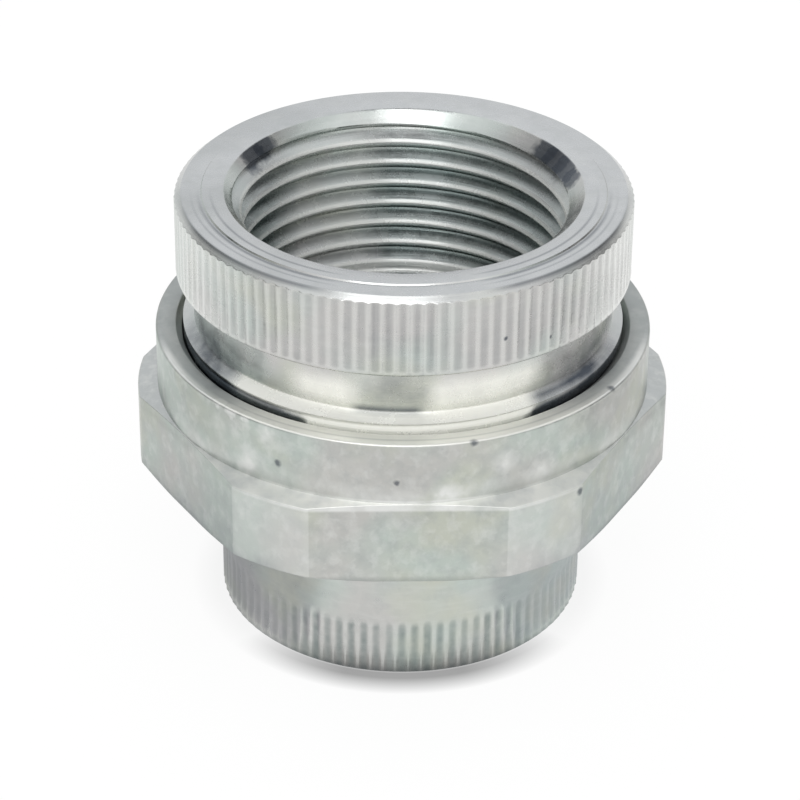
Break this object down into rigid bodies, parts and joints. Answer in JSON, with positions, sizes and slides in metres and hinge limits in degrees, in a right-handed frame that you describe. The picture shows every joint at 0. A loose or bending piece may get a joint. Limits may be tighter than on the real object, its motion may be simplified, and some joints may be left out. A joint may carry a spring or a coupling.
{
  "type": "conduit union",
  "caption": "Threaded conduit union: a hexagonal nut draws a knurled collar hub face to face against a plain hub, and a conduit screws into each end.",
  "frame": {"origin": "centre of the lower hub's end face, which is also the centre of the box's base", "axes": "+Z along the conduit, from the lower hub to the upper hub; -Y square to one flat of the nut, and +X through a corner of the nut"},
  "size_m": [0.0516, 0.048, 0.0436],
  "materials": {
    "hub_zinc": "turned steel, bright zinc plate",
    "nut_zinc": "turned and milled steel, worn zinc plate"
  },
  "bodies": {
    "lower_hub": {"lower_hub": "hub_zinc"},
    "union_nut": {"union_nut": "nut_zinc"},
    "upper_hub": {"upper_hub": "hub_zinc"}
  },
  "joints": [
    {"name": "nut_turn", "type": "hinge", "parent": "lower_hub", "child": "union_nut", "pos_m": [0, 0, 0.0183], "axis": [0, 0, -1], "range_deg": [0, 1260]},
    {"name": "hub_lift", "type": "slide", "parent": "lower_hub", "child": "upper_hub", "axis": [0, 0, 1], "range_m": [0, 0.00557]}
  ],
  "couplings": [
    {"joint": "hub_lift", "follows": "nut_turn", "m_per_rad": 0.00025266}
  ]
}
